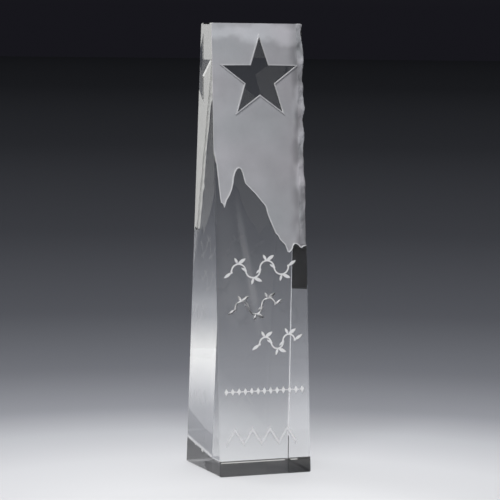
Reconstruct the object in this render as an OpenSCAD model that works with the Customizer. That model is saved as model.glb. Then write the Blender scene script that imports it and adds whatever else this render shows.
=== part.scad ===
// Crystal award: a clear wedge tower with a carved, frosted sky round a
// polished star and mountain, and a chiselled edge.
// Millimetres, +Z up. Origin: centre of the bottom face. The front faces -Y.

/* [Tower] */
// width across the front, the same from top to bottom
tower_w = 60; // [50:1:72]
// height from the table to the top edge
tower_h = 275; // [230:1:320]
// depth front to back at the bottom
base_d = 60; // [50:1:72]
// depth front to back at the top
top_d = 19; // [16:0.5:30]
// polished chamfer on the edges
edge_chamfer = 0.7; // [0.4:0.1:1]

/* [Carved sky] */
// how far the frosted floor lies behind the polished front
carve_depth = 0.8; // [0.4:0.1:1.5]
// thickness of the sandblasted layer
frost_t = 0.3; // [0.2:0.1:0.6]
// width of the bright lip on the carved walls
rim_w = 0.5; // [0.3:0.1:1]
// radius of the star's points
star_r = 25.5; // [18:0.5:27]
// radius of the star's inner corners, as a share of star_r
star_inner = 0.39; // [0.34:0.01:0.5]
// star centre to the right of the middle of the front
star_x = 0.6; // [-2:0.1:2]
// clear sky between the top edge and the star's upper point
star_gap = 8; // [5:0.5:14]

/* [Chiselled edge] */
// width of the chiselled band on the front
band_w = 4.6; // [3:0.2:8]
// depth of the frosted strip the band is cut in
band_t = 3; // [2:0.5:5]
// how deep the scallops bite into the front of the band
scallop_depth = 0.8; // [0.4:0.1:1.2]
// number of scallops between the ridge and the top edge
scallop_count = 9; // [6:1:14]
// how deep the chips bite in from the side
chip_depth = 1.2; // [0.5:0.1:2]

/* [Engraving] */
// depth of the engraved grooves
engrave_depth = 0.4; // [0.3:0.1:0.8]
// thickness of the frosted layer on the floor of a groove
engrave_fill = 0.25; // [0.15:0.05:0.3]
// width of the finest engraved line
stroke_w = 0.9; // [0.6:0.1:1.4]

/* [Hidden] */
$fn = 96;

// the size the ridge and the ornaments are laid out on
LAYOUT_W = 60;
LAYOUT_L = 276;
REACH = 8;

lean = atan((base_d - top_d) / 2 / tower_h);
face_l = tower_h / cos(lean);
kx = tower_w / LAYOUT_W;
kz = face_l / LAYOUT_L;
sky_floor = carve_depth + frost_t;
star_z = face_l - star_gap - star_r;

// outline of the mountain from left to right: [x, height up the face]
RIDGE = [[0, 198], [1.5, 190], [2.5, 180], [3.5, 169.5], [4, 167], [5, 166.5],
         [6, 164], [7.5, 168.5], [9.5, 171.5], [11, 175], [12, 179], [12.5, 182.5],
         [13.5, 185.5], [14.5, 187.2], [16, 188], [17.2, 187.2], [18.2, 185],
         [19, 182], [20, 178.5], [23, 175.5], [26.5, 172], [29.5, 168.5],
         [32.5, 165], [33.5, 163], [34, 160.5], [35.5, 156.5], [37, 153],
         [38.5, 149.5], [39.5, 147.5], [41, 146.2], [42, 144], [44, 142],
         [45.5, 140.5], [46.5, 138], [47.2, 136.2], [48.2, 135.8], [49.5, 137],
         [50.3, 138], [50.7, 139.7], [51.7, 141], [53, 141], [54.5, 140],
         [55.5, 138.8], [56.5, 138.4], [57.5, 139.2], [60, 140]];
ridge_pts = [for (p = RIDGE) [(p[0] - LAYOUT_W / 2) * kx, p[1] * kz]];
ridge_left = ridge_pts[0][1];
ridge_right = ridge_pts[len(ridge_pts) - 1][1];

// chips along the edge: [place between ridge and top, bite as a share, half length]
CHIPS = [[0.14, 0.45, 6], [0.385, 1, 15], [0.565, 0.55, 7], [0.735, 0.7, 9],
         [0.955, 0.85, 6]];
band_l = face_l - ridge_right;

// places the shapes drawn on the front: x across, y up the face, z outwards
module on_front(out = 0) {
    translate([0, -base_d / 2, 0]) rotate([90 - lean, 0, 0]) translate([0, 0, out])
        children();
}

// the leaning block with its bottom, top and side edges chamfered
module envelope() {
    c = edge_chamfer;
    t = tan(lean) * c;
    intersection() {
        rotate([90, 0, 90]) linear_extrude(height = tower_w, center = true)
            polygon([[-base_d / 2 + c, 0], [base_d / 2 - c, 0],
                     [base_d / 2 - t, c], [top_d / 2 + t, tower_h - c],
                     [top_d / 2 - c, tower_h], [-top_d / 2 + c, tower_h],
                     [-top_d / 2 - t, tower_h - c], [-base_d / 2 + t, c]]);
        rotate([90, 0, 0]) linear_extrude(height = base_d + 2, center = true)
            polygon([[-tower_w / 2 + c, 0], [tower_w / 2 - c, 0],
                     [tower_w / 2, c], [tower_w / 2, tower_h - c],
                     [tower_w / 2 - c, tower_h], [-tower_w / 2 + c, tower_h],
                     [-tower_w / 2, tower_h - c], [-tower_w / 2, c]]);
    }
}

// the cutter for one long leaning edge
module long_edge_cut() {
    s = edge_chamfer * sqrt(2);
    on_front() translate([tower_w / 2, face_l / 2, 0]) rotate([0, 45, 0])
        cube([s, face_l + 2 * REACH, s], center = true);
}

// the whole outside of the block, before anything is carved in it
module block() {
    difference() {
        envelope();
        for (a = [0, 1], b = [0, 1]) mirror([a, 0, 0]) mirror([0, b, 0])
            long_edge_cut();
    }
}

// the star, with its edges moved out by grow
module star_2d(grow = 0) {
    inner = star_r * star_inner;
    apothem = star_r * inner * sin(36)
        / sqrt(star_r * star_r + inner * inner - 2 * star_r * inner * cos(36));
    translate([star_x, star_z]) scale(1 + grow / apothem)
        polygon([for (i = [0:9]) let (r = i % 2 == 0 ? star_r : inner)
                 [r * sin(i * 36), r * cos(i * 36)]]);
}

// everything above the ridge, past the edges of the face
module above_ridge_2d() {
    x = tower_w / 2 + REACH;
    polygon(concat([[-x, ridge_left]], ridge_pts,
                   [[x, ridge_right], [x, face_l + REACH], [-x, face_l + REACH]]));
}

// the sky round the star, with its edges moved in by inset
module sky_2d(inset = 0) {
    difference() {
        offset(delta = -inset) above_ridge_2d();
        star_2d(inset);
    }
}

module band_2d() {
    translate([tower_w / 2 - band_w, ridge_right])
        square([band_w + REACH, band_l + REACH]);
}

// the front and side scallops that shape the chiselled edge
module chisel_cuts() {
    pitch = band_l / scallop_count;
    r = pitch * pitch / 8 / scallop_depth;
    tilt = atan(scallop_depth / band_w);
    on_front() for (i = [0:scallop_count])
        translate([tower_w / 2, ridge_right + i * pitch, -carve_depth - scallop_depth])
            rotate([0, tilt, 0]) translate([0, 0, r]) rotate([0, 90, 0])
                cylinder(h = 6 * band_w, r = r, center = true);
    on_front(-band_t) for (chip = CHIPS) {
        bite = chip_depth * chip[1];
        rr = (chip[2] * chip[2] + bite * bite) / 2 / bite;
        translate([tower_w / 2 + rr - bite, ridge_right + chip[0] * band_l, -1])
            cylinder(h = band_t + 4, r = rr);
    }
}

// a stem that swings up and down in half circles, with a dot at each turn
module stem_2d(count, r) {
    for (i = [0:count - 1]) translate([(2 * i + 1 - count) * r, 0])
        difference() {
            circle(r + stroke_w / 2);
            circle(r - stroke_w / 2);
            translate([-2 * r, i % 2 == 0 ? -2 * r : 0]) square([4 * r, 2 * r]);
        }
    for (i = [0:count]) translate([(2 * i - count) * r, 0]) circle(stroke_w * 0.8);
}

// a pointed leaf with its foot at the origin
module leaf_2d(l, w) {
    r = (l * l + w * w) / 4 / w;
    translate([0, l / 2]) intersection() {
        translate([r - w / 2, 0]) circle(r);
        translate([w / 2 - r, 0]) circle(r);
    }
}

// a stem with a pair of leaves on each crown, a shoot at each turn and leafy ends
module flourish_2d(count, r, leaf_l) {
    stem_2d(count, r);
    for (i = [0:count - 1]) let (up = i % 2 == 0 ? 1 : -1)
        translate([(2 * i + 1 - count) * r, up * r]) {
            rotate(-90 + up * 28) leaf_2d(leaf_l, leaf_l * 0.34);
            rotate(up == 1 ? 24 : 156) leaf_2d(leaf_l * 0.72, leaf_l * 0.26);
        }
    for (i = [1:count - 1]) let (up = i % 2 == 0 ? 1 : -1)
        translate([(2 * i - count) * r, 0])
            rotate(90 + up * 40) leaf_2d(leaf_l * 0.6, leaf_l * 0.2);
    translate([-count * r, 0]) rotate(118) leaf_2d(leaf_l, leaf_l * 0.3);
    translate([count * r, 0]) rotate(-62) leaf_2d(leaf_l, leaf_l * 0.3);
}

module flourish_top_2d() {
    translate([-1.5 * kx, 126 * kz]) rotate(5) flourish_2d(4, 4.7 * kx, 6 * kx);
}

module flourish_middle_2d() {
    translate([-5 * kx, 103 * kz]) rotate(5) flourish_2d(3, 4.4 * kx, 5.6 * kx);
}

module flourish_bottom_2d() {
    translate([9 * kx, 81 * kz]) rotate(5) flourish_2d(3, 3.9 * kx, 6 * kx);
}

// a fine line threaded through a row of lozenges
module name_rule_2d() {
    w = 50 * kx;
    count = 13;
    s = 2.5 * kx;
    translate([0, 51.5 * kz]) {
        square([w, stroke_w * 0.6], center = true);
        for (i = [0:count - 1]) translate([-w / 2 + i * w / (count - 1), 0])
            scale([0.75, 1.25]) rotate(45) square(s, center = true);
    }
}

// a broad zigzag band
module mark_band_2d() {
    w = 46 * kx;
    h = 9 * kz;
    t = 2.6 * kz;
    count = 8;
    up = [for (i = [0:count]) [-w / 2 + i * w / count, (i % 2) * h]];
    back = [for (i = [count:-1:0]) [-w / 2 + i * w / count, (i % 2) * h + t]];
    translate([-2.5 * kx, 18 * kz]) polygon(concat(up, back));
}

module engraving_2d() {
    flourish_top_2d();
    flourish_middle_2d();
    flourish_bottom_2d();
    name_rule_2d();
    mark_band_2d();
}

// the frosted layer on the floor of one engraved groove
module engraving() {
    on_front(-engrave_depth) linear_extrude(height = engrave_fill) children();
}

module crystal_tower() {
    color([0.86, 0.9, 0.92, 0.35]) difference() {
        block();
        on_front(-sky_floor) linear_extrude(height = sky_floor + 1) sky_2d();
        on_front(-band_t) linear_extrude(height = band_t + 1)
            intersection() { sky_2d(); band_2d(); }
        on_front(-engrave_depth) linear_extrude(height = engrave_depth + 1)
            engraving_2d();
    }
}

module frosted_sky() {
    color([0.74, 0.75, 0.78]) difference() {
        intersection() {
            block();
            on_front(-sky_floor) linear_extrude(height = sky_floor + 1) difference() {
                sky_2d();
                band_2d();
            }
        }
        on_front(-carve_depth) linear_extrude(height = carve_depth + 2) sky_2d(rim_w);
    }
}

module chiselled_edge() {
    color([0.8, 0.81, 0.83]) difference() {
        intersection() {
            block();
            on_front(-band_t) linear_extrude(height = band_t - carve_depth)
                intersection() { sky_2d(); band_2d(); }
        }
        chisel_cuts();
    }
}

module flourish_top() {
    color([0.86, 0.87, 0.88]) engraving() flourish_top_2d();
}

module flourish_middle() {
    color([0.86, 0.87, 0.88]) engraving() flourish_middle_2d();
}

module flourish_bottom() {
    color([0.86, 0.87, 0.88]) engraving() flourish_bottom_2d();
}

module name_rule() {
    color([0.86, 0.87, 0.88]) engraving() name_rule_2d();
}

module mark_band() {
    color([0.86, 0.87, 0.88]) engraving() mark_band_2d();
}

crystal_tower();
frosted_sky();
chiselled_edge();
flourish_top();
flourish_middle();
flourish_bottom();
name_rule();
mark_band();
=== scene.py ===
"""Looks of the crystal award: a clear wedge tower with a carved, frosted sky and fine engraving.

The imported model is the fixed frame. Every class here dresses or remakes one part of the award, and all
sizes are in metres in the frame of the model: +Z up, the engraved front towards -Y.
"""

import logging
import math
from collections.abc import Sequence
from dataclasses import dataclass, replace
from enum import Enum

import bpy
from mathutils import Matrix, Vector

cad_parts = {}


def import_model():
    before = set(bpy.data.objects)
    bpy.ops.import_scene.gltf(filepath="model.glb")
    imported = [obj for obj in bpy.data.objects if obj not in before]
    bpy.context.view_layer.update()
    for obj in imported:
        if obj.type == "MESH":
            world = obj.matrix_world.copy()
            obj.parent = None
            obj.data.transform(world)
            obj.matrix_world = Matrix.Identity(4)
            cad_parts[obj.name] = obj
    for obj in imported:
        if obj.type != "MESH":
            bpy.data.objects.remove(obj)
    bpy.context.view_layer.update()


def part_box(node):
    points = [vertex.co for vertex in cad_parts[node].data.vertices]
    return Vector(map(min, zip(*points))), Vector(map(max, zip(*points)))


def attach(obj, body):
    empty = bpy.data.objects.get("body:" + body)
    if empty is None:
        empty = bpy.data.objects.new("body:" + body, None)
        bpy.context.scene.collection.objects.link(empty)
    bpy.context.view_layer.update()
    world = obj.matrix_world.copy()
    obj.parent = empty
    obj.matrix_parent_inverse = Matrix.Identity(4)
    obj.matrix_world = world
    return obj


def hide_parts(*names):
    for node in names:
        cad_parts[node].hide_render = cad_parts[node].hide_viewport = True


LOG = logging.getLogger("crystal_award")
MM = 0.001
BODY = "root"
Colour = tuple[float, float, float]
Socket = bpy.types.NodeSocket
# Where the values of a noise lie: most of them, nearly all, and only the middle ones.
NOISE_SPAN = (0.3, 0.7)
WIDE_NOISE_SPAN = (0.25, 0.75)
NARROW_NOISE_SPAN = (0.35, 0.65)


class Slot(Enum):
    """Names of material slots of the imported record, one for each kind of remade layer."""

    FROSTED = "frosted_crystal"
    CHISELLED = "chiselled_crystal"
    ENGRAVED = "engraved_crystal"


class Ornament(Enum):
    """The engraved ornaments, by the name of their node."""

    FLOURISH_TOP = "flourish_top"
    FLOURISH_MIDDLE = "flourish_middle"
    FLOURISH_BOTTOM = "flourish_bottom"
    NAME_RULE = "name_rule"
    MARK_BAND = "mark_band"


def deselect_all() -> None:
    """Leave object mode with nothing selected and nothing active."""
    if bpy.context.mode != "OBJECT":
        bpy.ops.object.mode_set(mode="OBJECT")
    bpy.ops.object.select_all(action="DESELECT")
    bpy.context.view_layer.objects.active = None


def make_active(piece: bpy.types.Object) -> None:
    """Select one piece alone and make it the active one.

    Args:
        piece: The piece to work on next.
    """
    deselect_all()
    piece.select_set(True)
    bpy.context.view_layer.objects.active = piece


def apply_modifiers(piece: bpy.types.Object) -> None:
    """Apply all modifiers of a piece in order.

    Args:
        piece: The piece whose modifiers become part of its mesh.
    """
    make_active(piece)
    for modifier in list(piece.modifiers):
        bpy.ops.object.modifier_apply(modifier=modifier.name)


@dataclass(frozen=True)
class Face:
    """The leaning front of the tower, with its own axes across, up and outwards.

    Attributes:
        width: Width across the front.
        depth: Depth of the tower at the bottom.
        top_depth: Depth of the tower at the top.
        height: Height of the tower.
    """

    width: float
    depth: float
    top_depth: float
    height: float

    @property
    def lean(self) -> float:
        """Angle between the front and the vertical."""
        return math.atan((self.depth - self.top_depth) / 2 / self.height)

    @property
    def out(self) -> Vector:
        """Direction straight out of the front."""
        return Vector((0, -math.cos(self.lean), math.sin(self.lean)))

    @property
    def reach(self) -> float:
        """Distance of the front's plane from the origin, along its outward direction."""
        return self.depth / 2 * math.cos(self.lean)


class NodeTree:
    """A small helper that adds and links the nodes of one tree."""

    def __init__(self, tree: bpy.types.NodeTree) -> None:
        """Keep the tree.

        Args:
            tree: The node tree to add to.
        """
        self.tree = tree

    def add(self, kind: str, **settings: object) -> bpy.types.Node:
        """Add a node and set its properties and inputs.

        Args:
            kind: The node's type name without its ShaderNode prefix.
            settings: Properties by name, and input values by socket name with spaces as underscores.

        Returns:
            The new node.
        """
        node = self.tree.nodes.new("ShaderNode" + kind)
        for name, value in settings.items():
            if hasattr(node, name):
                setattr(node, name, value)
            else:
                node.inputs[name.replace("_", " ")].default_value = value
        return node

    def link(self, source: Socket, target: Socket) -> None:
        """Link two sockets.

        Args:
            source: An output.
            target: An input.
        """
        self.tree.links.new(source, target)

    def maths(self, operation: str, first: object, second: object = 0.0) -> Socket:
        """Add a Math node.

        Args:
            operation: The node's operation, such as MULTIPLY.
            first: A number or an output.
            second: A number or an output.

        Returns:
            The result's socket.
        """
        node = self.add("Math", operation=operation)
        for socket, value in zip(node.inputs, (first, second)):
            self.feed(value, socket)
        return node.outputs[0]

    def noise(self, scale: object, detail: float, vector: Socket) -> Socket:
        """Add a Noise Texture.

        Args:
            scale: Features per metre, as a number or an output.
            detail: Octaves of finer noise.
            vector: Where the noise is read.

        Returns:
            The noise's value from 0 to 1.
        """
        node = self.add("TexNoise", Detail=detail)
        self.feed(scale, node.inputs["Scale"])
        self.link(vector, node.inputs["Vector"])
        return node.outputs["Fac"]

    def feed(self, value: object, socket: Socket) -> None:
        """Link an output into a socket, or set a number on it.

        Args:
            value: An output, a number or a colour.
            socket: The input.
        """
        if isinstance(value, Socket):
            self.link(value, socket)
        else:
            socket.default_value = value

    def spread(self, value: Socket, from_range: tuple[float, float], to_range: tuple[float, float],
               smooth: bool = False) -> Socket:
        """Map one range onto another.

        Args:
            value: The value.
            from_range: The range that the value is read on.
            to_range: What the two ends become.
            smooth: Whether the ends are eased.

        Returns:
            The mapped value's socket.
        """
        node = self.add("MapRange", From_Min=from_range[0], From_Max=from_range[1], To_Min=to_range[0],
                        To_Max=to_range[1])
        if smooth:
            node.interpolation_type = "SMOOTHSTEP"
        self.link(value, node.inputs["Value"])
        return node.outputs["Result"]

    def blend(self, factor: object, first: object, second: object, mode: str = "MIX") -> Socket:
        """Mix two colours.

        Args:
            factor: How much of the second colour.
            first: A colour or an output.
            second: A colour or an output.
            mode: The blending mode.

        Returns:
            The mixed colour's socket.
        """
        node = self.add("Mix", data_type="RGBA", blend_type=mode)
        self.feed(factor, node.inputs[0])
        self.feed(first, node.inputs[6])
        self.feed(second, node.inputs[7])
        return node.outputs[2]

    def ramp(self, value: Socket, stops: Sequence[tuple[float, Colour]]) -> Socket:
        """Colour a value along a ramp.

        Args:
            value: The value, from 0 to 1.
            stops: Positions in rising order, each with its colour.

        Returns:
            The colour's socket.
        """
        node = self.add("ValToRGB")
        self.link(value, node.inputs["Fac"])
        elements = node.color_ramp.elements
        while len(elements) < len(stops):
            elements.new(0.5)
        for element, (position, colour) in zip(elements, stops):
            element.position, element.color = position, (*colour, 1)
        return node.outputs["Color"]

    def axes(self, vector: Socket) -> bpy.types.Node:
        """Split a vector into X, Y and Z.

        Args:
            vector: The vector.

        Returns:
            The node, with outputs X, Y and Z.
        """
        node = self.add("SeparateXYZ")
        self.link(vector, node.inputs[0])
        return node

    def grey(self, value: Socket) -> Socket:
        """Make a grey of a value.

        Args:
            value: The value.

        Returns:
            The grey's socket.
        """
        node = self.add("CombineXYZ")
        for socket in node.inputs:
            self.link(value, socket)
        return node.outputs[0]

    def place(self) -> Socket:
        """Return the Object coordinates."""
        return self.add("TexCoord").outputs["Object"]

    def group(self, group: bpy.types.NodeTree, **values: object) -> bpy.types.Node:
        """Place a node group.

        Args:
            group: The group.
            values: Its inputs by name, with spaces as underscores.

        Returns:
            The placed node.
        """
        node = self.tree.nodes.new("ShaderNodeGroup")
        node.node_tree = group
        for name, value in values.items():
            self.feed(value, node.inputs[name.replace("_", " ")])
        return node


class Effects:
    """The shader node groups that several finishes share, each built once."""

    def __init__(self, face: Face) -> None:
        """Build all the groups.

        Args:
            face: The leaning front.
        """
        self.face = face
        self.sandblast = self.build_sandblast()
        self.carving = self.build_carving()
        self.polish = self.build_polish()

    @staticmethod
    def start(name: str, inputs: dict[str, tuple[str, object]], outputs: dict[str, str]) -> tuple:
        """Make an empty group with its sockets.

        Args:
            name: The group's name.
            inputs: The kind and the default of each input.
            outputs: The kind of each output.

        Returns:
            The group, its tree helper, its input node and its output node.
        """
        group = bpy.data.node_groups.new(name, "ShaderNodeTree")
        for label, (kind, default) in inputs.items():
            socket = group.interface.new_socket(label, in_out="INPUT", socket_type="NodeSocket" + kind)
            if default is not None:
                socket.default_value = default
        for label, kind in outputs.items():
            group.interface.new_socket(label, in_out="OUTPUT", socket_type="NodeSocket" + kind)
        tree = NodeTree(group)
        return group, tree, group.nodes.new("NodeGroupInput"), group.nodes.new("NodeGroupOutput")

    def build_sandblast(self) -> bpy.types.NodeTree:
        """Build the cloudy, grainy look of a sandblasted surface.

        Returns:
            The group, with a colour, a roughness and a height.
        """
        mid_grey = (0.5, 0.5, 0.5, 1)
        group, tree, into, out = self.start(
            "sandblast",
            {"Vector": ("Vector", None), "Warm": ("Color", mid_grey), "Cool": ("Color", mid_grey),
             "Cloud Scale": ("Float", 60.0), "Cloud Depth": ("Float", 0.1), "Grain Scale": ("Float", 2500.0),
             "Grain Depth": ("Float", 0.05)},
            {"Color": "Color", "Roughness": "Float", "Height": "Float"})
        vector = into.outputs["Vector"]
        clouds = tree.noise(into.outputs["Cloud Scale"], 3.0, vector)
        drift_share, grain_relief, roughness = 0.37, 0.04, (0.5, 0.72)
        drift = tree.noise(tree.maths("MULTIPLY", into.outputs["Cloud Scale"], drift_share), 1.0, vector)
        grain = tree.noise(into.outputs["Grain Scale"], 2.0, vector)
        warm_to_cool = tree.spread(drift, NARROW_NOISE_SPAN, (0.0, 1.0))
        hue = tree.blend(warm_to_cool, into.outputs["Warm"], into.outputs["Cool"])
        swing, speck = (
            tree.maths("MULTIPLY", tree.spread(noise, WIDE_NOISE_SPAN, (-1.0, 1.0)), into.outputs[depth])
            for noise, depth in ((clouds, "Cloud Depth"), (grain, "Grain Depth")))
        gain = tree.maths("ADD", tree.maths("ADD", swing, speck), 1.0)
        tree.link(tree.blend(1.0, hue, tree.grey(gain), "MULTIPLY"), out.inputs["Color"])
        tree.link(tree.spread(grain, NOISE_SPAN, roughness), out.inputs["Roughness"])
        grains = tree.maths("MULTIPLY", grain, grain_relief)
        tree.link(tree.maths("ADD", clouds, grains), out.inputs["Height"])
        return group

    def build_carving(self) -> bpy.types.NodeTree:
        """Build the masks that tell the rim, the carved ground and the side facing into the block apart.

        Returns:
            The group, with Lip 1 on the rim near the polished front, where the painted highlight goes, and
            Inner 1 where the surface turns into the block, where the painted light goes.
        """
        group, tree, into, out = self.start(
            "carving",
            {"Vector": ("Vector", None), "Normal": ("Vector", None), "Lip Depth": ("Float", 0.3 * MM)},
            {"Lip": "Float", "Inner": "Float"})
        behind = tree.maths("SUBTRACT", self.face.reach, self.along_front(tree, into.outputs["Vector"]))
        lip_highlight = tree.maths("SUBTRACT", into.outputs["Lip Depth"], behind)
        facing = self.along_front(tree, into.outputs["Normal"])
        soft, turned_away = 0.1 * MM, (0.1, 0.4)
        tree.link(tree.spread(lip_highlight, (-soft, soft), (0.0, 1.0), True), out.inputs["Lip"])
        tree.link(tree.spread(facing, turned_away, (1.0, 0.0), True), out.inputs["Inner"])
        return group

    def along_front(self, tree: NodeTree, vector: Socket) -> Socket:
        """Measure a vector along the front's outward direction.

        Args:
            tree: The tree to add to.
            vector: The vector.

        Returns:
            Its length along that direction.
        """
        node = tree.add("VectorMath", operation="DOT_PRODUCT")
        tree.link(vector, node.inputs[0])
        node.inputs[1].default_value = self.face.out
        return node.outputs["Value"]

    def build_polish(self) -> bpy.types.NodeTree:
        """Build the faint waviness and the slight unevenness of hand-polished crystal.

        Returns:
            The group, with a tint and a height.
        """
        group, tree, into, out = self.start(
            "hand_polish",
            {"Vector": ("Vector", None), "Clear": ("Color", (1, 1, 1, 1)), "Deep": ("Color", (1, 1, 1, 1)),
             "Wave Scale": ("Float", 25.0)},
            {"Tint": "Color", "Height": "Float"})
        waves = tree.noise(into.outputs["Wave Scale"], 1.0, into.outputs["Vector"])
        tree.link(tree.blend(waves, into.outputs["Clear"], into.outputs["Deep"]), out.inputs["Tint"])
        tree.link(waves, out.inputs["Height"])
        return group


def new_material(name: str) -> tuple[bpy.types.Material, NodeTree, bpy.types.Node]:
    """Make an empty material with an output node.

    Args:
        name: The material's name.

    Returns:
        The material, its node tree and its output node.
    """
    material = bpy.data.materials.new(name)
    material.use_nodes = True
    material.node_tree.nodes.clear()
    tree = NodeTree(material.node_tree)
    return material, tree, tree.add("OutputMaterial")


@dataclass(frozen=True)
class ClearCrystal:
    """Polished optical crystal that lets lamps through to the frost inside it.

    Attributes:
        name: The material's name.
        index: The crystal's refractive index.
        clear: The crystal's colour where it is clearest.
        deep: The crystal's colour where it is deepest.
        waviness: Height of the polish's waves, in metres.
        wave_scale: Waves per metre.
        lamp_share: How much of the lamps' light comes through.
    """

    name: str = "polished_crystal"
    index: float = 1.517
    clear: Colour = (1.0, 1.0, 1.0)
    deep: Colour = (0.975, 0.985, 0.98)
    waviness: float = 0.000004
    wave_scale: float = 22.0
    lamp_share: float = 0.95

    def build(self, effects: Effects) -> bpy.types.Material:
        """Build the material.

        Args:
            effects: The shared groups.

        Returns:
            The material.
        """
        material, tree, output = new_material(self.name)
        polish = tree.group(effects.polish, Vector=tree.place(), Clear=(*self.clear, 1), Deep=(*self.deep, 1),
                            Wave_Scale=self.wave_scale)
        bump = tree.add("Bump", Strength=1.0, Distance=self.waviness)
        tree.link(polish.outputs["Height"], bump.inputs["Height"])
        glass = tree.add("BsdfPrincipled", Roughness=0.0, IOR=self.index)
        glass.inputs["Transmission Weight"].default_value = 1.0
        tree.link(polish.outputs["Tint"], glass.inputs["Base Color"])
        tree.link(bump.outputs["Normal"], glass.inputs["Normal"])
        lamps = tree.add("BsdfTransparent", Color=(self.lamp_share, self.lamp_share, self.lamp_share, 1))
        path = tree.add("LightPath")
        mix = tree.add("MixShader")
        tree.link(path.outputs["Is Shadow Ray"], mix.inputs[0])
        tree.link(glass.outputs[0], mix.inputs[1])
        tree.link(lamps.outputs[0], mix.inputs[2])
        tree.link(mix.outputs[0], output.inputs["Surface"])
        return material


@dataclass(frozen=True)
class PaintedFrostLight:
    """Painted light and shade on the frost: a paler strip along the top, a fall of light from left to right,
    and the shade and highlights of fluted hollows on the right.

    Attributes:
        top_light_band: Where the painted light along the top comes in, as two distances below the top edge.
        fade: Where it fades again, as two distances below the top edge.
        faded: What is left of it at the very top.
        gain: How much paler the painted light along the top makes the frost.
        wander: How far the band's lower edge wanders.
        wander_scale: How often it wanders, per metre.
        side_light_slope: Painted light from the left: how bright the left and the right of the front are
            painted.
        flute_reach: Where the flutes come in, as two distances from the right edge.
        flute_scale: How many flutes there are, per metre.
        flute_stretch: What the height is multiplied by when the flutes are drawn, so that they come out long.
        flute_shading: Painted shade and painted highlight of the fluted hollows: how much darker and paler
            they are painted.
    """

    top_light_band: tuple[float, float] = (13 * MM, 7 * MM)
    fade: tuple[float, float] = (4 * MM, -1 * MM)
    faded: float = 0.35
    gain: float = 0.46
    wander: float = 3.5 * MM
    wander_scale: float = 70.0
    side_light_slope: tuple[float, float] = (1.14, 0.86)
    flute_reach: tuple[float, float] = (12 * MM, 4 * MM)
    flute_scale: float = 150.0
    flute_stretch: float = 0.4
    flute_shading: tuple[float, float] = (-0.34, 0.26)

    def lay(self, tree: NodeTree, place: Socket, ground: Socket, face: Face) -> Socket:
        """Paint the light and shade over a colour.

        Args:
            tree: The material's tree.
            place: The Object coordinates.
            ground: The frost's colour so far.
            face: The leaning front.

        Returns:
            The colour with the painted light and shade.
        """
        axes = tree.axes(place)
        top, edge = face.height, face.width / 2
        roam = tree.spread(tree.noise(self.wander_scale, 2.0, place), NOISE_SPAN, (-1.0, 1.0))
        height = tree.maths("ADD", axes.outputs["Z"], tree.maths("MULTIPLY", roam, self.wander))
        # Painted light: a paler strip along the top, its lower edge wandering.
        rise = tree.spread(height, (top - self.top_light_band[0], top - self.top_light_band[1]), (0.0, 1.0), True)
        fall = tree.spread(height, (top - self.fade[0], top - self.fade[1]), (1.0, self.faded), True)
        top_light_band = tree.maths("MULTIPLY", tree.maths("MULTIPLY", rise, fall), self.gain)
        # Painted light falling off from the left to the right of the front.
        side_light_slope = tree.spread(axes.outputs["X"], (-edge, edge), self.side_light_slope)
        # Painted shade and highlights of the fluted hollows near the right edge.
        near_edge = tree.spread(axes.outputs["X"], (edge - self.flute_reach[0], edge - self.flute_reach[1]),
                                (0.0, 1.0), True)
        drawn = tree.add("Mapping", Scale=(1, 1, self.flute_stretch))
        tree.link(place, drawn.inputs["Vector"])
        ripples = tree.noise(self.flute_scale, 1.0, drawn.outputs["Vector"])
        flute_shading = tree.spread(ripples, NOISE_SPAN, self.flute_shading, True)
        gain = tree.maths("ADD", tree.maths("ADD", side_light_slope, top_light_band), tree.maths("MULTIPLY", flute_shading, near_edge))
        return tree.blend(1.0, ground, tree.grey(gain), "MULTIPLY")


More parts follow.
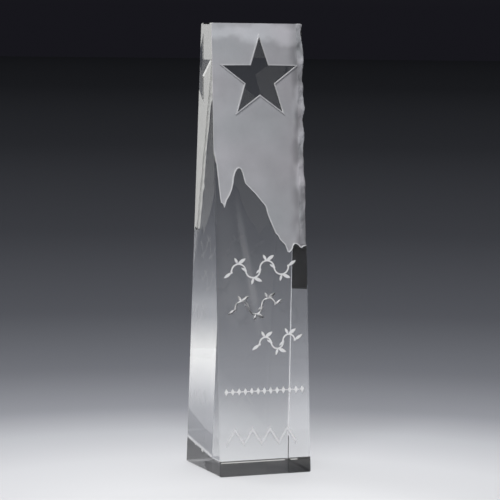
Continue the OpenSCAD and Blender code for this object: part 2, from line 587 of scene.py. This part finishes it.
@dataclass(frozen=True)
class Frost:
    """Sandblasted crystal, with a painted highlight along the carved rim and a paler colour, painted light,
    on the side that faces into the block, added to the lamps' light that comes through.

    Attributes:
        name: The material's name.
        warm: The frost's warmer shade.
        cool: The frost's cooler shade.
        lip_highlight: Painted highlight: the paler colour of the carved rim next to the polished front.
        inner_light: Painted light: the paler colour of the side that faces into the block, added to the light
            the lamps give it through the crystal.
        cloud_scale: Clouds per metre.
        cloud_depth: How much the clouds lighten and darken.
        grain_scale: Grains per metre.
        grain_depth: How much the grain lightens and darkens.
        relief: Height of the clouds, in metres.
        painted_light: The painted light and shade over the front, if there is any.
        lip_depth: How far below the polished front the lip reaches.
        rim_highlight_heights: Between which heights the painted highlight on the rim fades.
        high_rim_highlight: How much of the painted highlight on the rim is left above them, round the star.
        index: The frost's refractive index.
        shine: How strongly the frost mirrors.
    """

    name: str
    warm: Colour
    cool: Colour
    lip_highlight: Colour
    inner_light: Colour
    cloud_scale: float = 60.0
    cloud_depth: float = 0.06
    grain_scale: float = 2600.0
    grain_depth: float = 0.04
    relief: float = 0.0006
    painted_light: PaintedFrostLight | None = None
    lip_depth: float = 0.3 * MM
    rim_highlight_heights: tuple[float, float] = (185 * MM, 200 * MM)
    high_rim_highlight: float = 0.45
    index: float = 1.5
    shine: float = 0.3

    def build(self, effects: Effects) -> bpy.types.Material:
        """Build the material.

        Args:
            effects: The shared groups.

        Returns:
            The material.
        """
        material, tree, output = new_material(self.name)
        place = tree.place()
        blast = tree.group(effects.sandblast, Vector=place, Warm=(*self.warm, 1), Cool=(*self.cool, 1),
                           Cloud_Scale=self.cloud_scale, Cloud_Depth=self.cloud_depth,
                           Grain_Scale=self.grain_scale, Grain_Depth=self.grain_depth)
        carving = tree.group(effects.carving, Vector=place, Lip_Depth=self.lip_depth)
        tree.link(tree.add("TexCoord").outputs["Normal"], carving.inputs["Normal"])
        ground = blast.outputs["Color"]
        if self.painted_light:
            ground = self.painted_light.lay(tree, place, ground, effects.face)
        # Painted light: the side that faces into the block gets a paler colour.
        ground = tree.blend(carving.outputs["Inner"], ground, (*self.inner_light, 1))
        # Painted highlight on the rim next to the polished front, fading above the given heights.
        highlight_fade = tree.spread(tree.axes(place).outputs["Z"], self.rim_highlight_heights, (1.0, self.high_rim_highlight), True)
        lip_highlight = tree.maths("MULTIPLY", carving.outputs["Lip"], highlight_fade)
        ground = tree.blend(lip_highlight, ground, (*self.lip_highlight, 1))
        bump = tree.add("Bump", Strength=1.0, Distance=self.relief)
        tree.link(blast.outputs["Height"], bump.inputs["Height"])
        frost = tree.add("BsdfPrincipled", IOR=self.index)
        frost.inputs["Specular IOR Level"].default_value = self.shine
        tree.link(ground, frost.inputs["Base Color"])
        tree.link(blast.outputs["Roughness"], frost.inputs["Roughness"])
        tree.link(bump.outputs["Normal"], frost.inputs["Normal"])
        tree.link(frost.outputs[0], output.inputs["Surface"])
        return material


@dataclass
class FrostedLayer:
    """A frosted layer of the crystal, remade from its node of the model.

    Attributes:
        node: The layer's node.
        name: The new piece's name.
        slot: The material slot of the imported record that goes with the layer; not used.
        overlap: How far its faces reach into the crystal, so that no film of air lies between them.
    """

    node: str
    name: str
    slot: Slot
    overlap: float = 0.03 * MM

    def copy(self) -> bpy.types.Object:
        """Copy the node's mesh and merge it.

        Returns:
            The copy, on its own in the scene.
        """
        deselect_all()
        source = bpy.data.objects[self.node]
        piece = source.copy()
        piece.data = source.data.copy()
        piece.name = self.name
        piece.parent = None
        for key in list(piece.keys()):
            del piece[key]
        bpy.context.scene.collection.objects.link(piece)
        make_active(piece)
        bpy.ops.object.mode_set(mode="EDIT")
        bpy.ops.mesh.select_all(action="SELECT")
        bpy.ops.mesh.remove_doubles(threshold=0.000002)
        bpy.ops.mesh.dissolve_limited(angle_limit=math.radians(0.5))
        bpy.ops.object.mode_set(mode="OBJECT")
        return piece

    def bed(self, piece: bpy.types.Object) -> None:
        """Let the faces of a layer reach a little into the crystal.

        Args:
            piece: The layer.
        """
        make_active(piece)
        bpy.ops.object.mode_set(mode="EDIT")
        bpy.ops.mesh.select_all(action="SELECT")
        bpy.ops.transform.shrink_fatten(value=self.overlap, use_even_offset=True)
        bpy.ops.object.mode_set(mode="OBJECT")

    def shape(self, piece: bpy.types.Object) -> None:
        """Give the layer the shape that only it has."""

    def build(self, finish: bpy.types.Material) -> bpy.types.Object:
        """Build the layer.

        Args:
            finish: The layer's material.

        Returns:
            The new piece, which replaces the node.
        """
        piece = self.copy()
        self.bed(piece)
        self.shape(piece)
        piece.data.materials.clear()
        piece.data.materials.append(finish)
        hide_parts(self.node)
        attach(piece, BODY)
        return piece


@dataclass
class ChiselledStrip(FrostedLayer):
    """The hand-chiselled strip down the right edge, with soft hollows.

    Attributes:
        grain: Size of the mesh's squares.
        softness: How many times the hard edges are smoothed.
        hollow_size: Size of the hollows.
        hollow_depth: Depth of the hollows.
    """

    grain: float = 0.45 * MM
    softness: int = 8
    hollow_size: float = 7 * MM
    hollow_depth: float = 1.6 * MM

    def shape(self, piece: bpy.types.Object) -> None:
        """Remesh the strip finely, soften its edges and sink the hollows.

        Args:
            piece: The strip.
        """
        remesh = piece.modifiers.new("remesh", "REMESH")
        remesh.mode = "VOXEL"
        remesh.voxel_size = self.grain
        smooth = piece.modifiers.new("smooth", "SMOOTH")
        smooth.factor = 0.5
        smooth.iterations = self.softness
        texture = bpy.data.textures.new("hollows", "CLOUDS")
        texture.noise_scale = self.hollow_size
        texture.noise_depth = 1
        hollows = piece.modifiers.new("hollows", "DISPLACE")
        hollows.texture = texture
        hollows.texture_coords = "LOCAL"
        hollows.strength = self.hollow_depth
        hollows.mid_level = 0.5
        hollows.vertex_group = self.outer_side(piece, remesh, smooth)
        apply_modifiers(piece)
        bpy.ops.object.shade_smooth()

    @staticmethod
    def outer_side(piece: bpy.types.Object, *first: bpy.types.Modifier) -> str:
        """Apply the first modifiers, then mark the side that the chisel reached.

        Args:
            piece: The strip.
            first: The modifiers that come before the marking.

        Returns:
            The name of the vertex group, full on the outer side and empty on the bedded one.
        """
        make_active(piece)
        for modifier in first:
            bpy.ops.object.modifier_apply(modifier=modifier.name)
        group = piece.vertex_groups.new(name="outer_side")
        sideways, ramp_length = 0.2, 0.5
        for vertex in piece.data.vertices:
            outward = max(-vertex.normal.y, vertex.normal.x)
            group.add([vertex.index], min(max(outward - sideways, 0.0) / ramp_length, 1.0), "REPLACE")
        return group.name


@dataclass
class CrystalTower:
    """The clear wedge itself, kept as modelled and polished.

    Attributes:
        node: The block's node.
    """

    node: str = "crystal_tower"

    def build(self, finish: bpy.types.Material) -> bpy.types.Object:
        """Dress the block.

        Args:
            finish: The crystal's material.

        Returns:
            The block.
        """
        block = bpy.data.objects[self.node]
        block.data.materials.clear()
        block.data.materials.append(finish)
        return block


def crystal_only(card: bpy.types.Object) -> None:
    """Keep a card out of the picture, so that only the crystal shows it.

    Args:
        card: The card.
    """
    card.visible_camera = False
    card.visible_shadow = False
    card.visible_diffuse = False


@dataclass(frozen=True)
class Lamp:
    """A soft lamp that lights the frost and the floor, and that the crystal doesn't show.

    Attributes:
        name: The lamp's name.
        azimuth: Where the light comes from, in degrees round the tower, 0 in front and 90 on the right.
        elevation: Its height in degrees.
        strength: Its brightness.
        spread: Its angular size in degrees.
    """

    name: str
    azimuth: float
    elevation: float
    strength: float
    spread: float

    def build(self) -> None:
        """Hang the lamp."""
        data = bpy.data.lights.new(self.name, "SUN")
        data.energy = self.strength
        data.angle = math.radians(self.spread)
        lamp = bpy.data.objects.new(self.name, data)
        lamp.visible_glossy = False
        lamp.visible_transmission = False
        bpy.context.scene.collection.objects.link(lamp)
        turn, rise = math.radians(self.azimuth), math.radians(self.elevation)
        source = Vector((math.sin(turn) * math.cos(rise), -math.cos(turn) * math.cos(rise), math.sin(rise)))
        lamp.rotation_euler = source.to_track_quat("Z", "Y").to_euler()


@dataclass(frozen=True)
class LightBox:
    """A narrow light box in front, where the polished front mirrors it as a soft streak.

    Attributes:
        name: The light box's name.
        across: How far it stands to the right of the mirrored line of sight.
        height: Height of its middle.
        size: Its width and its height.
        lean: How far it leans, in degrees.
        glow: Its brightness in the middle.
        away: Its distance from the tower's axis.
        even: How far from its middle the glow stays even, and where it ends, as shares of its size.
    """

    name: str
    across: float
    height: float
    size: tuple[float, float]
    lean: float
    glow: float
    away: float = 1.2
    even: tuple[float, float] = (0.1, 0.5)

    def build(self, turn: float) -> None:
        """Stand the light box up.

        Args:
            turn: The camera's turn round the tower, in radians.
        """
        along, beside = math.sin(turn), math.cos(turn)
        spot = (along * self.away + beside * self.across, along * self.across - beside * self.away,
                self.height)
        deselect_all()
        bpy.ops.mesh.primitive_plane_add(size=1, location=spot,
                                         rotation=(math.radians(90), math.radians(self.lean), turn))
        box = bpy.context.active_object
        box.name = self.name
        box.scale = (*self.size, 1)
        material, tree, output = new_material(self.name + "_glow")
        axes = tree.axes(tree.place())
        fades = [tree.spread(tree.maths("ABSOLUTE", axes.outputs[side]), self.even, (1.0, 0.0), True)
                 for side in ("X", "Y")]
        lit = tree.add("Emission", Color=(1.0, 0.99, 1.0, 1))
        tree.link(tree.maths("MULTIPLY", tree.maths("MULTIPLY", *fades), self.glow), lit.inputs["Strength"])
        tree.link(lit.outputs[0], output.inputs["Surface"])
        box.data.materials.append(material)
        crystal_only(box)


LAMPS = (Lamp("front_lamp", -30, 45, 2.6, 30),
         Lamp("back_lamp_left", -140, 32, 1.9, 40),
         Lamp("back_lamp_right", 150, 35, 1.9, 40))
LIGHT_BOXES = (LightBox("strip_light", across=-0.019, height=0.18, size=(0.012, 0.2), lean=-8, glow=1.1),
               LightBox("wide_light", across=-0.04, height=0.185, size=(0.03, 0.24), lean=-4, glow=0.3))

# Tones of the painted pool of light on the floor and of the painted shade on the card by the tower: metres
# from the palest spot, or from the tower's side, and how pale it looks there.
FLOOR_LIGHT_POOL_TONES = ((0, 0.92), (0.1, 0.89), (0.2, 0.835), (0.3, 0.73), (0.4, 0.565), (0.6, 0.43), (1, 0.32),
               (2, 0.235), (5, 0.165), (15, 0.12), (70, 0.1))
FOOT_SHADE_TONES = ((0, 0.6), (0.04, 0.61), (0.08, 0.67), (0.12, 0.79), (0.16, 0.91), (0.2, 1), (0.23, 1),
              (0.33, 0.68))
# Colours of the room, by how far up the eye looks.
ROOM_COLOURS = ((0.02, (0.0085, 0.0083, 0.0115)), (0.2, (0.036, 0.036, 0.039)), (1.0, (0.25, 0.25, 0.26)))
# How a tone becomes a colour: the eye's curve, the spot that keeps one tone, and how cold the dark tones are.
EYE_GAMMA = 2.2
TONE_CORE = 0.05
CHILL = 0.15
CHILL_OFF_RED = 0.4
CHILL_TO_BLUE = 1.4
BOUNCES = 32


@dataclass
class Studio:
    """The floor, the cards, the lamps and the camera.

    Attributes:
        distance: From the camera to the tower's axis, along the floor.
        eye_height: Height of the camera.
        azimuth: The camera's turn round the tower from straight in front, in degrees, towards the left.
        pitch: How far the camera looks down, in degrees.
        roll: How far the camera leans, in degrees.
        lens: Focal length in millimetres on a 36 mm sensor.
        lit: How brightly a white floor would shine under the lamps.
        floor_radius: Radius of the floor.
        light_pool: How far in front of the tower the painted pool of light on the floor is palest.
    """

    distance: float = 1.4
    eye_height: float = 0.258
    azimuth: float = 21.85
    pitch: float = 5.0
    roll: float = 0.55
    lens: float = 163.5
    lit: float = 1.3
    floor_radius: float = 80.0
    light_pool: float = 0.16

    def camera(self) -> None:
        """Place the camera and make it the scene's."""
        data = bpy.data.cameras.new("camera")
        data.lens = self.lens
        data.sensor_width = 36
        data.clip_start = 0.01
        data.clip_end = 200
        camera = bpy.data.objects.new("camera", data)
        bpy.context.scene.collection.objects.link(camera)
        turn = math.radians(self.azimuth)
        place = Vector((-math.sin(turn) * self.distance, -math.cos(turn) * self.distance, self.eye_height))
        down = math.radians(self.pitch)
        look = Vector((math.sin(turn) * math.cos(down), math.cos(turn) * math.cos(down), -math.sin(down)))
        aim = look.to_track_quat("-Z", "Y").to_matrix()
        camera.rotation_euler = (aim @ Matrix.Rotation(math.radians(self.roll), 3, "Z")).to_euler()
        camera.location = place
        bpy.context.scene.camera = camera

    def shade(self, tone: float) -> Colour:
        """Turn a tone as the eye sees it into the paper's colour, a little colder where it is darker.

        Args:
            tone: The tone, from 0 to 1.

        Returns:
            The colour.
        """
        level, chill = tone ** EYE_GAMMA / self.lit, CHILL * (1 - tone)
        return level * (1 - CHILL_OFF_RED * chill), level, level * (1 + CHILL_TO_BLUE * chill)

    def light_and_shade_paper(self, name: str, tones: Sequence[tuple[float, float]], centre: tuple[float, float],
              turn: float = 0.0, front_fall: float = 1.0) -> bpy.types.Material:
        """Build matte paper with painted light and shade: its tone falls with the distance from a point.

        Args:
            name: The material's name.
            tones: Distances in metres, each with its tone from 0 to 1 as the eye sees it.
            centre: The point, on the floor.
            turn: How far the pattern is turned about the upright, in radians.
            front_fall: How much faster the tone falls in front of the point.

        Returns:
            The material.
        """
        material, tree, output = new_material(name)
        spun = Matrix.Rotation(turn, 2) @ Vector(centre)
        shift = tree.add("Mapping", Location=(-spun.x, -spun.y, 0), Rotation=(0, 0, turn))
        length = tree.add("VectorMath", operation="LENGTH")
        tree.link(tree.place(), shift.inputs["Vector"])
        axes = tree.axes(shift.outputs["Vector"])
        before = tree.maths("MULTIPLY", tree.maths("MINIMUM", axes.outputs["Y"], 0.0), front_fall)
        oval = tree.add("CombineXYZ")
        tree.link(axes.outputs["X"], oval.inputs["X"])
        tree.link(tree.maths("ADD", tree.maths("MAXIMUM", axes.outputs["Y"], 0.0), before), oval.inputs["Y"])
        tree.link(oval.outputs[0], length.inputs[0])
        near, far = TONE_CORE, tones[-1][0] + TONE_CORE
        reach = tree.maths("LOGARITHM", tree.maths("ADD", length.outputs["Value"], near), 10.0)
        stops = [(math.log10((away + near) / near) / math.log10(far / near), self.shade(tone))
                 for away, tone in tones]
        along = tree.spread(reach, (math.log10(near), math.log10(far)), (0.0, 1.0))
        matte = tree.add("BsdfDiffuse")
        tree.link(tree.ramp(along, stops), matte.inputs["Color"])
        tree.link(matte.outputs[0], output.inputs["Surface"])
        return material

    def floor(self) -> None:
        """Lay the floor with a painted pool of light: pale round the award and darker far away."""
        deselect_all()
        bpy.ops.mesh.primitive_circle_add(vertices=128, radius=self.floor_radius, fill_type="NGON",
                                          location=(0, 0, -0.3 * MM))
        floor = bpy.context.active_object
        floor.name = "floor"
        turn = math.radians(self.azimuth)
        centre = (-self.light_pool * math.sin(turn), -self.light_pool * math.cos(turn))
        floor.data.materials.append(self.light_and_shade_paper("floor_light_pool", FLOOR_LIGHT_POOL_TONES, centre, turn, front_fall=1.8))

    def black_card(self) -> None:
        """Stand a black card behind the award on the left."""
        deselect_all()
        bpy.ops.mesh.primitive_cube_add(size=1, location=(-0.205, 0.55, 0.2),
                                        rotation=(0, 0, math.radians(23)))
        card = bpy.context.active_object
        card.scale = (0.3, 0.004, 0.4)
        card.name = "black_card"
        material, tree, output = new_material("black_cloth")
        cloth = tree.add("BsdfDiffuse", Color=(0.009, 0.009, 0.01, 1))
        tree.link(cloth.outputs[0], output.inputs["Surface"])
        card.data.materials.append(material)
        crystal_only(card)

    def grey_card(self) -> None:
        """Lay a grey card of painted shade on the floor along the award's right side, darkest next to the
        tower.
        """
        deselect_all()
        bpy.ops.mesh.primitive_plane_add(size=1, location=(0.108, -0.15, -0.1 * MM))
        card = bpy.context.active_object
        card.scale = (0.15, 0.38, 1)
        card.name = "grey_card"
        bpy.ops.object.transform_apply(location=True, rotation=True, scale=True)
        card.data.materials.append(self.light_and_shade_paper("foot_shade_paper", FOOT_SHADE_TONES, (0.035, 0.0)))
        crystal_only(card)

    def world(self) -> None:
        """Set the dim surroundings, a little brighter overhead."""
        world = bpy.data.worlds.new("room")
        world.use_nodes = True
        bpy.context.scene.world = world
        tree = NodeTree(world.node_tree)
        axes = tree.axes(tree.add("TexCoord").outputs["Generated"])
        room = world.node_tree.nodes["Background"]
        tree.link(tree.ramp(axes.outputs["Z"], ROOM_COLOURS), room.inputs["Color"])

    def build(self) -> None:
        """Build the whole studio."""
        self.camera()
        self.floor()
        self.world()
        for lamp in LAMPS:
            lamp.build()
        self.black_card()
        self.grey_card()
        for box in LIGHT_BOXES:
            box.build(math.radians(self.azimuth))
        scene = bpy.context.scene
        scene.view_settings.view_transform = "Standard"
        scene.cycles.max_bounces = BOUNCES
        scene.cycles.transmission_bounces = BOUNCES
        scene.cycles.caustics_refractive = False
        scene.cycles.caustics_reflective = False


def main() -> None:
    """Build the award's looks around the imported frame."""
    logging.basicConfig(level=logging.INFO, format="%(message)s")
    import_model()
    low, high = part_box("crystal_tower")
    face = Face(width=high.x - low.x, depth=high.y - low.y, top_depth=19 * MM, height=high.z - low.z)
    Studio().build()
    effects = Effects(face)
    tower = CrystalTower()
    LOG.info("%s dressed", tower.build(ClearCrystal().build(effects)).name)
    sky_frost = Frost("sky_frost", warm=(0.41, 0.4, 0.425), cool=(0.385, 0.395, 0.415),
                      lip_highlight=(0.66, 0.66, 0.68), inner_light=(0.8, 0.8, 0.79), cloud_depth=0.085, painted_light=PaintedFrostLight())
    strip_frost = replace(sky_frost, name="strip_frost", cool=(0.375, 0.385, 0.405), lip_highlight=(0.45, 0.45, 0.47),
                          inner_light=(0.78, 0.78, 0.77), cloud_scale=130.0, cloud_depth=0.16, relief=0.0022)
    engraving_frost = Frost("engraving_frost", warm=(0.74, 0.74, 0.75), cool=(0.7, 0.71, 0.73),
                            lip_highlight=(0.76, 0.76, 0.77), inner_light=(0.8, 0.8, 0.8), cloud_scale=300.0,
                            cloud_depth=0.06, relief=0.0001)
    faint_frost = replace(engraving_frost, name="faint_frost", warm=(0.66, 0.66, 0.67),
                          cool=(0.62, 0.63, 0.65), lip_highlight=(0.66, 0.66, 0.68), cloud_depth=0.12)
    sky = FrostedLayer("frosted_sky", "sandblasted_sky", Slot.FROSTED)
    LOG.info("%s built", sky.build(sky_frost.build(effects)).name)
    strip = ChiselledStrip("chiselled_edge", "chipped_edge", Slot.CHISELLED, overlap=0.15 * MM)
    LOG.info("%s built", strip.build(strip_frost.build(effects)).name)
    white, faint = engraving_frost.build(effects), faint_frost.build(effects)
    for ornament in Ornament:
        layer = FrostedLayer(ornament.value, "engraved_" + ornament.value, Slot.ENGRAVED)
        LOG.info("%s built", layer.build(faint if ornament is Ornament.MARK_BAND else white).name)


if __name__ == "__main__":
    main()
